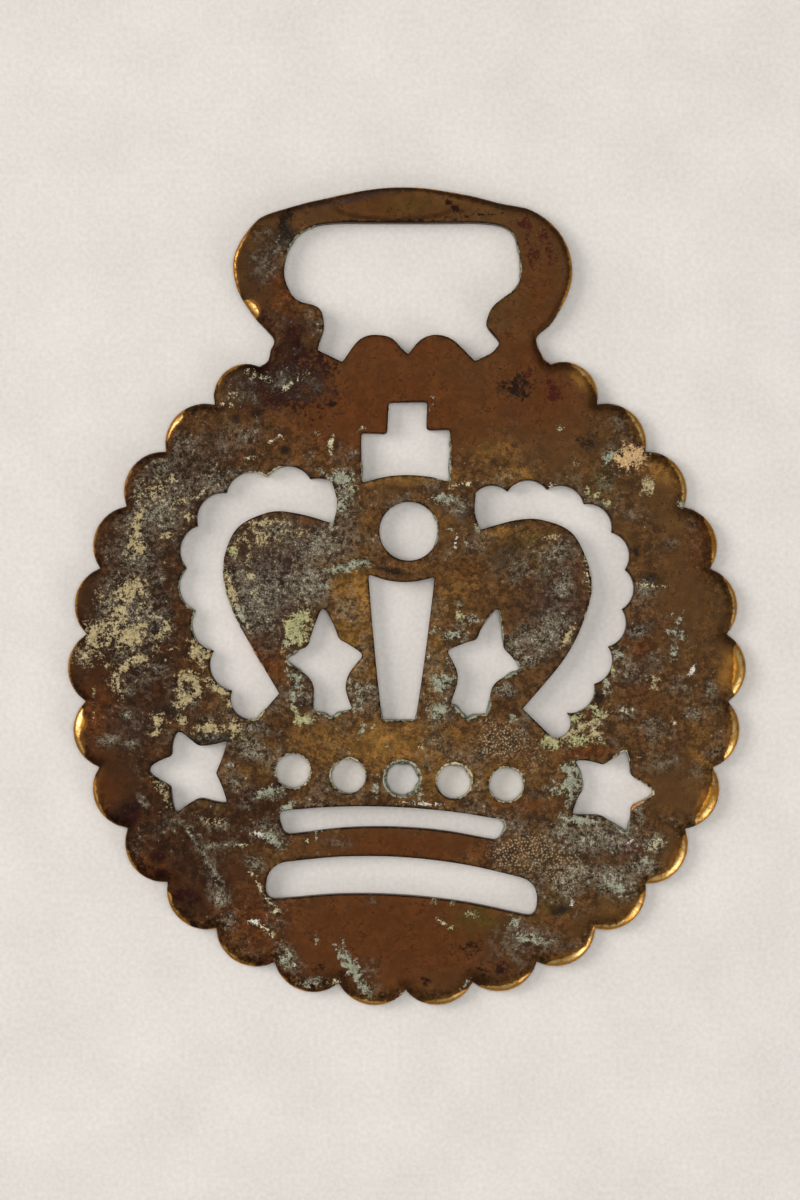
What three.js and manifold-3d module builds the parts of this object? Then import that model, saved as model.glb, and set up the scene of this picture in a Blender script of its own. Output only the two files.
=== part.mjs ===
// A horse brass: a flat disc of cast brass with a scalloped rim, pierced with a crown and four
// stars, under a square-shouldered hanger that a harness strap runs through. It lies on its back:
// +X to its right, +Y towards the hanger, +Z out of its face, the origin under the middle of it.
import * as THREE from 'three';
import { mergeVertices } from 'three/addons/utils/BufferGeometryUtils.js';
import Module from 'manifold-3d';

// Driving dimensions, in millimetres. Every outline is drawn about the middle of the disc.
const THICKNESS = 2.2;
const DISC_RADIUS = 38.1; // to the tips of the scallops
const SCALLOPS = 30;
const SCALLOP_DEPTH = 2.05;
const RIM_ROUNDING = { across: 1.3, down: 0.7, steps: 3 };
const WINDOW_BREAK = 0.2; // the broken front edge of every window

// The rim was filed by eye: its high and low spots, in degrees from the top (right is positive),
// with how far each stands out and over how many degrees it fades.
const RIM_SPOTS = [
  { at: -28, out: 0.5, over: 10 },
  { at: 29, out: 0.5, over: 10 },
  { at: 69, out: -0.34, over: 12 },
  { at: 92, out: 0.22, over: 8 },
  { at: 162, out: -0.15, over: 8 },
  { at: 232, out: -0.28, over: 10 },
  { at: 278, out: -0.2, over: 14 },
];

// Steps for a curve: an arc takes twice as many, and a round hole has its own count.
const CURVE_STEPS = 4;
const HOLE_STEPS = 12;
const FINE = { bow: 0.04, rounding: 0.26 }; // mm: anything smaller is left straight

const brass = new THREE.MeshStandardMaterial({
  name: 'aged_brass',
  color: 0x5c4026,
  roughness: 0.55,
  metalness: 0.7,
});

// --- drawing ---------------------------------------------------------------------------------

const point = (x, y) => new THREE.Vector2(x, y);

function polar(radius, degrees) {
  const angle = THREE.MathUtils.degToRad(degrees);
  return point(radius * Math.cos(angle), radius * Math.sin(angle));
}

// Carries a path on to `end` by an arc that rises by `rise` to the left of the way there.
function arcTo(path, end, rise) {
  const start = path.currentPoint.clone();
  const half = end.clone().sub(start).multiplyScalar(0.5);
  const left = point(-half.y, half.x).normalize();
  const radius = (half.lengthSq() + rise * rise) / (2 * Math.abs(rise));
  const centre = start.clone().add(half).addScaledVector(left, rise - Math.sign(rise) * radius);
  const from = Math.atan2(start.y - centre.y, start.x - centre.x);
  const to = Math.atan2(end.y - centre.y, end.x - centre.x);
  path.absarc(centre.x, centre.y, radius, from, to, rise > 0);
}

// The value of a parabola's control polygon between two places along it, which is the control
// point of the stretch between them.
function parabolaControl(start, control, end, t, u) {
  return start.clone().multiplyScalar((1 - t) * (1 - u))
    .addScaledVector(control, t * (1 - u) + u * (1 - t))
    .addScaledVector(end, t * u);
}

// A closed shape from corners [x, y, rounding, bow]: each corner is cut back by its rounding, and
// the side that leaves it is bowed outwards by its bow. The corners run clockwise.
function bowedShape(corners) {
  const sides = corners.map(([x, y, rounding = 0, bow = 0], i) => {
    const [nextX, nextY, nextRounding = 0] = corners[(i + 1) % corners.length];
    const start = point(x, y);
    const end = point(nextX, nextY);
    const way = end.clone().sub(start);
    const outward = point(-way.y, way.x).normalize();
    const middle = start.clone().addScaledVector(way, 0.5).addScaledVector(outward, 2 * bow);
    const t = rounding / way.length();
    const u = 1 - nextRounding / way.length();
    const control = (a, b) => parabolaControl(start, middle, end, a, b);
    return { start, rounding, bow, first: control(t, t), control: control(t, u), last: control(u, u) };
  });
  const shape = new THREE.Shape();
  shape.moveTo(sides[0].first.x, sides[0].first.y);
  sides.forEach((side, i) => {
    const next = sides[(i + 1) % sides.length];
    curveTo(shape, side.control, side.last, Math.abs(side.bow) > FINE.bow);
    curveTo(shape, next.start, next.first, next.rounding > FINE.rounding);
  });
  return shape;
}

function curveTo(shape, control, end, curved) {
  if (curved) {
    shape.quadraticCurveTo(control.x, control.y, end.x, end.y);
  } else {
    shape.lineTo(end.x, end.y);
  }
}

function roundShape(x, y, radius) {
  const shape = new THREE.Shape();
  shape.absarc(x, y, radius, 0, 2 * Math.PI);
  return shape;
}

// --- the plate's outline -----------------------------------------------------------------------

const PITCH = 360 / SCALLOPS;
const CUSP_RADIUS = (DISC_RADIUS - SCALLOP_DEPTH) / Math.cos(THREE.MathUtils.degToRad(PITCH / 2));

// The place on the rim, between two scallops, at an angle counted from the top.
function rimCusp(fromTop) {
  const outs = RIM_SPOTS.map((spot) => {
    const away = (fromTop - spot.at + 540) % 360 - 180;
    return spot.out * Math.exp(-((away / spot.over) ** 2));
  });
  return polar(outs.reduce((radius, out) => radius + out, CUSP_RADIUS), 90 - fromTop);
}

// The hanger's outer edge, from its left neck over the top to its right neck.
const HANGER_EDGE = [
  [-15.5, 34.4], [-15.2, 35.6], [-14.9, 36.9], [-17.1, 39.4], [-19.0, 42.6], [-19.25, 46.2], [-17.2, 49.7],
  [-14.4, 51.25], [-6.0, 53.3], [0.1, 53.9], [6.0, 53.2], [10.6, 52.1], [14.0, 51.35],
  [16.8, 49.4], [18.5, 46.3], [18.5, 42.8], [16.6, 38.9], [14.7, 36.9], [15.6, 34.6],
].map(([x, y]) => point(x, y));

const NECKS = { left: [-16.4, 33.8], right: [16.3, 34.1] };

function plateShape() {
  const shape = new THREE.Shape();
  shape.moveTo(...NECKS.right);
  for (let fromTop = 3 * PITCH; fromTop <= 360 - 3 * PITCH; fromTop += PITCH) {
    arcTo(shape, rimCusp(fromTop), SCALLOP_DEPTH);
  }
  arcTo(shape, point(...NECKS.left), SCALLOP_DEPTH);
  shape.splineThru(HANGER_EDGE);
  return shape;
}

// The strap's opening. Two scallops of the rim stand up into it from below, between the feet of
// the hanger.
function strapOpening() {
  return bowedShape([
    [-9.9, 35.6, 0.15, 0.1], [-9.1, 37.9, 0.9, -0.05], [-9.5, 40.5, 1.1, 0.05], [-12.5, 41.2, 1.0],
    [-13.8, 43.8, 1.3, 0.2], [-12.5, 48.8, 2.4, 0.2], [-7.8, 49.9, 1.5, -0.05],
    [8.5, 49.9, 1.5, 0.1], [12.0, 49.15, 1.4, 0.15], [13.0, 44.2, 1.0, 0.1],
    [12.2, 42.3, 0.7, -0.1], [9.4, 40.2, 1.0, 0.1], [8.8, 38.5, 0.9], [10.6, 36.4, 0.4],
    [9.7, 35.3, 0.4], [7.75, 34.35, 0.15], [4.8, 37.35, 1.6, -0.08], [1.9, 37.15, 1.2, -0.05],
    [0.3, 35.1, 0.15, 0.1], [-1.5, 37.1, 1.0, -0.1], [-4.9, 37.3, 1.4, -0.05], [-7.1, 34.25, 0.15],
  ]);
}

// --- the crown's windows -----------------------------------------------------------------------

// The stepped window of the cross, over the arch of the crown's middle band.
function crossWindow() {
  return bowedShape([
    [-1.9, 29.7, 0.3], [2.4, 29.8, 0.3], [2.3, 26.6, 0.5], [5.0, 26.7, 0.4], [4.95, 20.8, 0.2, -0.85],
    [-4.95, 20.7, 0.2], [-5.0, 26.3, 0.4], [-2.1, 26.2, 0.4],
  ]);
}

// The long window below the round one, narrowing downwards, with a hollow top.
function taperedWindow() {
  return bowedShape([
    [-4.2, 10.5, 0.4, -0.75], [3.25, 10.2, 0.2, 0.1], [1.1, -5.9, 0.2], [-2.65, -5.9, 0.3, 0.1],
  ]);
}

// The crown's two side windows. The outer edge is scalloped: its cusps stand evenly along an arc
// and the straight run that carries it on to the foot. The inner edge is one smooth curve.
const SIDES = [
  {
    arc: { centre: [-13.85, 10.85], radius: 10.75, from: 73, to: 207 },
    run: [[-19.5, -2.6]],
    cusps: 8,
    rise: 1.3,
    inner: [[-14.2, -2.9], [-17.1, 2.1], [-19.3, 6.2], [-20.5, 10.9], [-19.1, 15.4], [-15.4, 17.4],
      [-12.0, 17.25], [-8.15, 16.15]],
    head: [[-7.7, 18.4], [-8.3, 20.9]],
    headRise: 0.2,
    tail: [-16.7, -5.75],
  },
  {
    arc: { centre: [14.15, 9.55], radius: 10.55, from: 105, to: -17 },
    run: [[21.2, -1.8], [18.1, -5.1]],
    cusps: 9,
    rise: 1.15,
    inner: [[13.1, -4.6], [17.7, 0.9], [20.0, 5.5], [20.8, 9.9], [18.9, 14.8], [15.5, 16.5],
      [12.4, 16.55], [8.35, 15.45]],
    head: [[7.75, 17.4], [7.85, 19.6]],
    headRise: 0.75,
    tail: [16.5, -7.9],
  },
];

function scallopCusps({ arc, run, cusps }) {
  const edge = new THREE.Path();
  const [from, to] = [arc.from, arc.to].map(THREE.MathUtils.degToRad);
  edge.absarc(...arc.centre, arc.radius, from, to, to < from);
  run.forEach((place) => edge.lineTo(...place));
  return edge.getSpacedPoints(cusps - 1);
}

function sideWindow(side) {
  const outwards = side.arc.to < side.arc.from ? 1 : -1;
  const [foot, ...inner] = side.inner.map(([x, y]) => point(x, y));
  const [first, ...cusps] = scallopCusps(side);
  const shape = new THREE.Shape();
  shape.moveTo(foot.x, foot.y);
  shape.splineThru(inner);
  side.head.forEach((place) => shape.lineTo(...place));
  arcTo(shape, first, outwards * side.headRise);
  cusps.forEach((cusp) => arcTo(shape, cusp, outwards * side.rise));
  arcTo(shape, point(...side.tail), outwards * side.rise);
  return shape;
}

// --- the stars -----------------------------------------------------------------------------------

// The stars are hand-cut, each with its own five tips. Clockwise: a tip, the notch after it, and
// so on, each as [x, y, rounding, bow of the side that follows].
const STARS = [
  [
    [-9.3, 7.0, 0.9, 0.15], [-7.5, 3.2, 0.2, 0.1], [-4.7, 1.4, 0.6, -0.1], [-7.1, -1.7, 1.7, 0],
    [-6.0, -4.7, 0.3, -0.2], [-8.4, -5.7, 0.3, -0.2], [-10.4, -5.0, 0.5, 0.1], [-10.1, -1.6, 1.6, 0],
    [-13.6, 0.9, 0.7, 0.1], [-11.0, 2.4, 0.2, 0.1],
  ],
  [
    [10.4, 6.9, 0.8, 0.1], [11.0, 2.1, 0.2, 0.1], [13.1, -0.3, 0.8, 0], [9.6, -1.7, 1.5, 0],
    [9.3, -5.3, 0.5, -0.2], [6.8, -5.8, 0.3, -0.2], [5.0, -4.1, 0.4, 0], [6.1, -0.9, 1.4, 0],
    [4.6, 1.9, 0.5, 0.1], [7.95, 3.15, 0.2, 0.3],
  ],
  [
    [-25.5, -6.9, 0.8, 0], [-23.2, -8.8, 0.5, -0.1], [-20.0, -8.2, 0.3, 0.1], [-21.3, -11.8, 0.3, 0.1],
    [-20.0, -15.2, 0.5, 0.1], [-23.0, -14.5, 0.7, -0.1], [-25.8, -16.4, 0.6, 0.1],
    [-26.3, -13.3, 0.3, 0.1], [-29.1, -11.5, 0.9, 0.2], [-26.2, -9.9, 0.2, 0.25],
  ],
  [
    [24.8, -9.1, 0.7, 0.1], [25.2, -12.1, 0.5, 0.15], [28.0, -14.0, 0.6, 0.1], [25.3, -15.7, 0.2, 0.1],
    [24.8, -18.8, 0.7, -0.1], [21.8, -16.5, 0.6, 0], [18.6, -16.5, 0.5, 0.1], [19.95, -13.3, 0.2, 0],
    [19.0, -10.4, 0.4, 0.2], [22.2, -10.95, 0.5, 0.1],
  ],
];

// --- the crown's band ----------------------------------------------------------------------------

// Five round jewels on a line that falls a little to the right, over two arched slots.
const JEWELS = [[-12.65, -11.6], [-6.44, -12.15], [-0.38, -12.5], [5.43, -12.76], [11.3, -13.1]];
const JEWEL_RADIUS = 1.98;

function upperSlot() {
  return bowedShape([
    [-14.4, -16.1, 1.1, 1.05], [11.6, -17.2, 1.3], [10.3, -19.4, 0.7, -1.25], [-13.6, -18.8, 0.9],
  ]);
}

function lowerSlot() {
  return bowedShape([
    [-15.0, -22.0, 1.6, 1.75], [14.6, -24.0, 1.8, 0.2], [14.5, -28.0, 1.2, -1.55], [-15.7, -26.1, 1.4, 0.3],
  ]);
}

const ORB = { x: 0.35, y: 15.3, radius: 3.3 };

// --- solids --------------------------------------------------------------------------------------

const wasm = await Module();
wasm.setup();

function toSolid(geometry) {
  geometry.deleteAttribute('normal');
  geometry.deleteAttribute('uv');
  const merged = mergeVertices(geometry);
  return new wasm.Manifold(new wasm.Mesh({
    numProp: 3,
    vertProperties: new Float32Array(merged.attributes.position.array),
    triVerts: new Uint32Array(merged.index.array),
  }));
}

function toGeometry(solid) {
  const mesh = solid.getMesh();
  const geometry = new THREE.BufferGeometry();
  geometry.setAttribute('position', new THREE.BufferAttribute(mesh.vertProperties, 3));
  geometry.setIndex(new THREE.BufferAttribute(mesh.triVerts, 1));
  geometry.computeVertexNormals();
  return geometry;
}

// The plate with its face rounded over along the whole outline. The same rounding on its back is
// drawn below the ground plane and cut away, so the back stays flat and square-edged.
function plateSolid() {
  const { across, down, steps } = RIM_ROUNDING;
  const geometry = new THREE.ExtrudeGeometry(plateShape(), {
    depth: THICKNESS,
    bevelThickness: down,
    bevelSize: across,
    bevelOffset: -across,
    bevelSegments: steps,
    curveSegments: CURVE_STEPS,
  });
  geometry.translate(0, 0, -down);
  const ground = new THREE.BoxGeometry(4 * DISC_RADIUS, 4 * DISC_RADIUS, 2 * down);
  ground.translate(0, 0, -down);
  return toSolid(geometry).subtract(toSolid(ground));
}

// A window's cutter: straight through the plate, and flared where it leaves the face.
function windowSolid(shape, curveSegments = CURVE_STEPS) {
  const straight = new THREE.ExtrudeGeometry(shape, {
    depth: 3 * THICKNESS,
    bevelEnabled: false,
    curveSegments,
  });
  straight.translate(0, 0, -THICKNESS);
  const flare = new THREE.ExtrudeGeometry(shape, {
    depth: THICKNESS,
    bevelThickness: WINDOW_BREAK,
    bevelSize: WINDOW_BREAK,
    bevelSegments: 1,
    curveSegments,
  });
  flare.translate(0, 0, THICKNESS);
  return toSolid(straight).add(toSolid(flare));
}

function horseBrass() {
  const shapes = [
    strapOpening(),
    crossWindow(),
    taperedWindow(),
    upperSlot(),
    lowerSlot(),
    ...SIDES.map(sideWindow),
    ...STARS.map(bowedShape),
  ];
  const holes = JEWELS.map(([x, y]) => roundShape(x, y, JEWEL_RADIUS));
  const orb = roundShape(ORB.x, ORB.y, ORB.radius);
  let solid = plateSolid();
  shapes.forEach((shape) => {
    solid = solid.subtract(windowSolid(shape));
  });
  [...holes, orb].forEach((hole) => {
    solid = solid.subtract(windowSolid(hole, HOLE_STEPS));
  });
  const geometry = toGeometry(solid);
  geometry.computeBoundingBox();
  const middle = geometry.boundingBox.getCenter(new THREE.Vector3());
  geometry.translate(-middle.x, -middle.y, 0);
  const mesh = new THREE.Mesh(geometry, brass);
  mesh.name = 'horse_brass';
  return mesh;
}

const part = new THREE.Group();
part.add(horseBrass());

export default part;
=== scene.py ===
"""Horse brass: a flat cast brass plate with a scalloped disc, cut-out windows and a strap hanger.

Long unpolished. The casting is drawn again from the outline of its CAD part, finely enough to carry
the cast skin, the worn rim and the crusts. Lengths are millimetres from the middle of the disc.
"""

import math
from functools import partial
from types import SimpleNamespace

import bpy
import numpy as np
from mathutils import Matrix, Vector, kdtree
from mathutils.geometry import delaunay_2d_cdt


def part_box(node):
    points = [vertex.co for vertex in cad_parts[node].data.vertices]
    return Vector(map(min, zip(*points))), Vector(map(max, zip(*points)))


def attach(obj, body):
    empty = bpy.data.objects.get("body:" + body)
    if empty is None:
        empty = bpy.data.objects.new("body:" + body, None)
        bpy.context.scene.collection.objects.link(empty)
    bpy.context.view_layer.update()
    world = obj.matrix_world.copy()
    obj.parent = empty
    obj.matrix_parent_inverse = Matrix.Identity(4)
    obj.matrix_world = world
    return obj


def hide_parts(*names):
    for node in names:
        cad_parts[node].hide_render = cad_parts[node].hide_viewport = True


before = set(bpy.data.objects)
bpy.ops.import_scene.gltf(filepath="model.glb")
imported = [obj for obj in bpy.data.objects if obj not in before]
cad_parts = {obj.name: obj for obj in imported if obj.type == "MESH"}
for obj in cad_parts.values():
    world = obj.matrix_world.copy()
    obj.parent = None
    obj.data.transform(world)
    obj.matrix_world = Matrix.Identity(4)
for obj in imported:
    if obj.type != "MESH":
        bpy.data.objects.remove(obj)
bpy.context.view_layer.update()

NODE = "horse_brass"
PIECE = "horse_brass_casting"
MM = 0.001
LOW, HIGH = (np.array(corner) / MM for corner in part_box(NODE))
# The disc's middle sits a little left of the middle of the box, and its lowest scallop touches the
# box's near side.
DISC = np.array([(LOW[0] + HIGH[0]) / 2 - 0.11, LOW[1] + 37.89])

FACE = 2.06  # height of the bare front face; the crusts fill the rest of the thickness
RIM_WIDTH, RIM_DROP = 1.5, 0.72  # how far in and how far down the rim is rounded over
WINDOW_WIDTH, WINDOW_DROP = 0.26, 0.13  # the same at the windows
BACK_WIDTH, BACK_RISE = 0.2, 0.08  # the same at the back's edges
FACET = SimpleNamespace(x=-1.2, y=51.8, length=7, width=1.6, depth=0.1)  # flat on the hanger's bar
FILED = 0.03  # how deep the file marks along the rim are

STEP = 0.25  # between the points along the outlines
FRONT_GRID, BACK_GRID = 0.29, 0.62  # between the points of the faces
FRONT_ROWS, BACK_ROWS = (0.07, 0.18), (0.15,)  # rows of points that follow the edges, this far in
WALL_ROWS = ((0.8, 0.5), (0.45, 1), (0.12, 0.8))  # how high up the wall, how much growth swells it
FAR = 9  # any distance past every band along an edge
CORNER = math.radians(35)  # an outline that turns more sharply keeps its corner
CREASE = math.radians(50)


# ---- small tools


def srgb(code):
    """A #rrggbb colour as linear red, green, blue, alpha."""
    channels = [int(code[i : i + 2], 16) / 255 for i in (1, 3, 5)]
    return [c / 12.92 if c <= 0.04045 else ((c + 0.055) / 1.055) ** 2.4 for c in channels] + [1.0]


def per(mm):
    """The scale of a texture whose features are this many millimetres across."""
    return 1 / (mm * MM)


def drift(x, y, size, seed):
    """A smooth random value from -1 to 1 that changes over about this many millimetres."""
    table = np.random.default_rng(seed).uniform(-1, 1, (128, 128))
    u, v = x / size + 64, y / size + 64
    i, j = np.floor(u).astype(int), np.floor(v).astype(int)
    u, v = u - i, v - j
    u, v = u * u * (3 - 2 * u), v * v * (3 - 2 * v)
    i, j, i2, j2 = i % 128, j % 128, (i + 1) % 128, (j + 1) % 128
    low = table[i, j] * (1 - u) + table[i2, j] * u
    high = table[i, j2] * (1 - u) + table[i2, j2] * u
    return low * (1 - v) + high * v


def step_up(value, start, end):
    """Rises smoothly from 0 to 1 between start and end."""
    t = np.clip((value - start) / (end - start), 0, 1)
    return t * t * (3 - 2 * t)


# Kinds of node: Blender's name, settings, the sockets to fill in order, the output used (None: all).
KINDS = {
    "ramp": ("ShaderNodeMapRange", {"interpolation_type": "SMOOTHSTEP"}, range(5), 0),
    "slope": ("ShaderNodeMapRange", {}, range(5), 0),
    "blend": ("ShaderNodeMix", {"data_type": "FLOAT"}, (0, 2, 3), 0),
    "mix": ("ShaderNodeMix", {"data_type": "RGBA"}, (0, 6, 7), 2),
    "scaled": ("ShaderNodeVectorMath", {"operation": "SCALE"}, (0, "Scale"), 0),
    "place": ("ShaderNodeTexCoord", {}, (), "Object"),
    "stored": ("ShaderNodeAttribute", {}, (), "Fac"),
    "stored colour": ("ShaderNodeAttribute", {}, (), "Color"),
    "noise": ("ShaderNodeTexNoise", {}, ("Vector", "Scale", "Detail", "Roughness"), "Fac"),
    "cells": ("ShaderNodeTexVoronoi", {}, ("Vector", "Scale", "Randomness"), "Distance"),
    "bump": ("ShaderNodeBump", {}, ("Height", "Strength", "Distance"), 0),
    "finish": ("ShaderNodeBsdfPrincipled", {}, ("Base Color", "Roughness", "Metallic", "Normal"), 0),
    "material": ("ShaderNodeOutputMaterial", {}, ("Surface",), None),
    "given": ("NodeGroupInput", {}, (), None),
    "result": ("NodeGroupOutput", {}, ("Geometry",), None),
    "swelling": ("ShaderNodeTexNoise", {}, ("Scale", "Detail"), "Fac"),
    "value here": ("GeometryNodeInputNamedAttribute", {"data_type": "FLOAT"}, ("Name",), "Attribute"),
    "normal": ("GeometryNodeInputNormal", {}, (), 0),
    "moved": ("GeometryNodeSetPosition", {}, ("Geometry", "Offset"), 0),
    "scattered": ("GeometryNodeDistributePointsOnFaces", {}, ("Mesh", "Density", "Seed"), None),
    "ball": ("GeometryNodeMeshIcoSphere", {}, ("Radius", "Subdivisions"), "Mesh"),
    "marked": ("GeometryNodeStoreNamedAttribute", {"domain": "FACE"}, ("Geometry", "Name", "Value"), 0),
    "random": ("FunctionNodeRandomValue", {"data_type": "FLOAT_VECTOR"}, ("Min", "Max", "Seed"), 0),
    "placed": ("GeometryNodeInstanceOnPoints", {}, ("Points", "Instance", "Rotation", "Scale"), 0),
    "turned": ("GeometryNodeRotateInstances", {}, ("Instances", "Rotation"), 0),
    "joined": ("GeometryNodeJoinGeometry", {}, (0, 0), 0),
    "real": ("GeometryNodeRealizeInstances", {}, ("Geometry",), 0),
    "coated": ("GeometryNodeSetMaterial", {}, ("Geometry", "Material", "Selection"), 0),
}
for name, operation in {
    "plus": "ADD",
    "minus": "SUBTRACT",
    "times": "MULTIPLY",
    "over": "DIVIDE",
    "larger": "MAXIMUM",
    "unsigned": "ABSOLUTE",
}.items():
    KINDS[name] = ("ShaderNodeMath", {"operation": operation}, (0, 1), 0)


def add(tree, kind, *values, **settings):
    """Adds a node and gives its output. Its values are numbers, colours or other nodes' outputs."""
    blender_name, usual, sockets, result = KINDS[kind]
    made = tree.nodes.new(blender_name)
    for name, value in {**usual, **settings}.items():
        setattr(made, name, value)
    for socket, value in zip(sockets, values):
        if isinstance(value, bpy.types.NodeSocket):
            tree.links.new(value, made.inputs[socket])
        else:
            made.inputs[socket].default_value = value
    return made.outputs if result is None else made.outputs[result]


# ---- outline of the casting


def cad_outlines():
    """The closed outlines of the flat back, the disc's own first."""
    mesh = bpy.data.objects[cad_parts[NODE].name].data
    place = np.empty(len(mesh.vertices) * 3)
    mesh.vertices.foreach_get("co", place)
    microns = np.round(place.reshape(-1, 3) / MM * 1000).astype(int)
    keys = [tuple(p) for p in microns]
    follows, met = {}, set()
    for face in mesh.polygons:
        corners = [keys[i] for i in face.vertices]
        if max(c[2] for c in corners) > 1000 * LOW[2] + 5:
            continue
        for a, b in zip(corners, corners[1:] + corners[:1]):
            met.add((a, b))
    for a, b in met:
        if (b, a) not in met:
            follows[a] = b
    loops = []
    while follows:
        start = min(follows)
        at, loop = follows.pop(start), [start]
        while at != start:
            loop.append(at)
            at = follows.pop(at)
        loops.append(np.array(loop)[::-1, :2] / 1000 - DISC)
    return sorted(loops, key=lambda loop: -np.ptp(loop[:, 0]))


def drawn_smooth(points):
    """The outline as a smooth line through its points, with its corners kept."""
    after = np.roll(points, -1, 0) - points
    before = np.roll(after, 1, 0)
    length = np.linalg.norm(after, axis=1)
    across = before[:, 0] * after[:, 1] - before[:, 1] * after[:, 0]
    turn = np.arctan2(across, (before * after).sum(1))
    sharp = (np.abs(turn) > CORNER)[:, None]
    tangent = before + after
    tangent /= np.linalg.norm(tangent, axis=1)[:, None]
    leaving = np.where(sharp, after / length[:, None], tangent)
    arriving = np.where(sharp, before / np.linalg.norm(before, axis=1)[:, None], tangent)
    drawn = []
    for i, p in enumerate(points):
        j = (i + 1) % len(points)
        count = max(1, round(length[i] / STEP))
        t = (np.arange(count) / count)[:, None]
        drawn.append(
            p * (1 + 2 * t) * (1 - t) ** 2
            + points[j] * t**2 * (3 - 2 * t)
            + leaving[i] * length[i] * t * (1 - t) ** 2
            - arriving[j] * length[i] * t**2 * (1 - t)
        )
    return np.concatenate(drawn)


def inward(loop):
    """The direction from each point of an outline into the metal, which lies on its left."""
    along = np.roll(loop, -1, 0) - np.roll(loop, 1, 0)
    along /= np.linalg.norm(along, axis=1)[:, None]
    return np.stack([-along[:, 1], along[:, 0]], axis=1)


def filed(rim):
    """The rim's outline, moved in and out a little as a file leaves it."""
    x, y = rim[:, 0], rim[:, 1]
    marks = drift(x, y, 2.2, 5) + 0.6 * drift(x, y, 0.8, 6)
    return rim + inward(rim) * (FILED * (1 + marks / 1.6))[:, None]


def distance_to(loops):
    """A function giving the distance from points to the nearest of these outlines."""
    dense = []
    for loop in loops:
        following = np.roll(loop, -1, 0)
        for t in (0, 0.25, 0.5, 0.75):
            dense.append(loop * (1 - t) + following * t)
    dense = np.concatenate(dense)
    tree = kdtree.KDTree(len(dense))
    for i, (x, y) in enumerate(dense):
        tree.insert((x, y, 0), i)
    tree.balance()
    return lambda points: np.array([tree.find((x, y, 0))[2] for x, y in points])


def in_metal(points, loops):
    """Which points lie inside the disc and outside its windows."""
    inside = np.zeros(len(points), bool)
    x, y = points[:, 0], points[:, 1]
    order = np.argsort(y)
    ys = y[order]
    for loop in loops:
        following = np.roll(loop, -1, 0)
        for (ax, ay), (bx, by) in zip(loop, following):
            if ay == by:
                continue
            first, last = np.searchsorted(ys, sorted((ay, by)))
            some = order[first:last]
            hit = ax + (y[some] - ay) / (by - ay) * (bx - ax)
            inside[some] ^= hit > x[some]
    return inside


# ---- marks on the metal
# Each mark: x, y, half its length, half its width, the angle of its length, how strong it is.

SKIN = "#573b1e"
STAINS = {
    "chestnut": "#593113",
    "umber": "#3a210f",
    "rust": "#5b3111",
    "ochre": "#775527",
    "amber": "#875e29",
    "olive": "#504117",
    "mauve": "#432f24",
}
DARK_STAINS = {
    "plum": "#260b08",
    "wine": "#431a12",
    # also the colour of the painted shadow lines under the hanger bar
    "soot_and_painted_shadow": "#1d140c",
}
CRUSTS = {
    "khaki": "#a2926b",
    "lemon": "#9b976b",
    "verdigris": "#8a8c78",
    "cream": "#b0a888",
    "pink": "#b7966a",
    "amber": "#b0763a",
    "white": "#c2bfb2",
}

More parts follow.
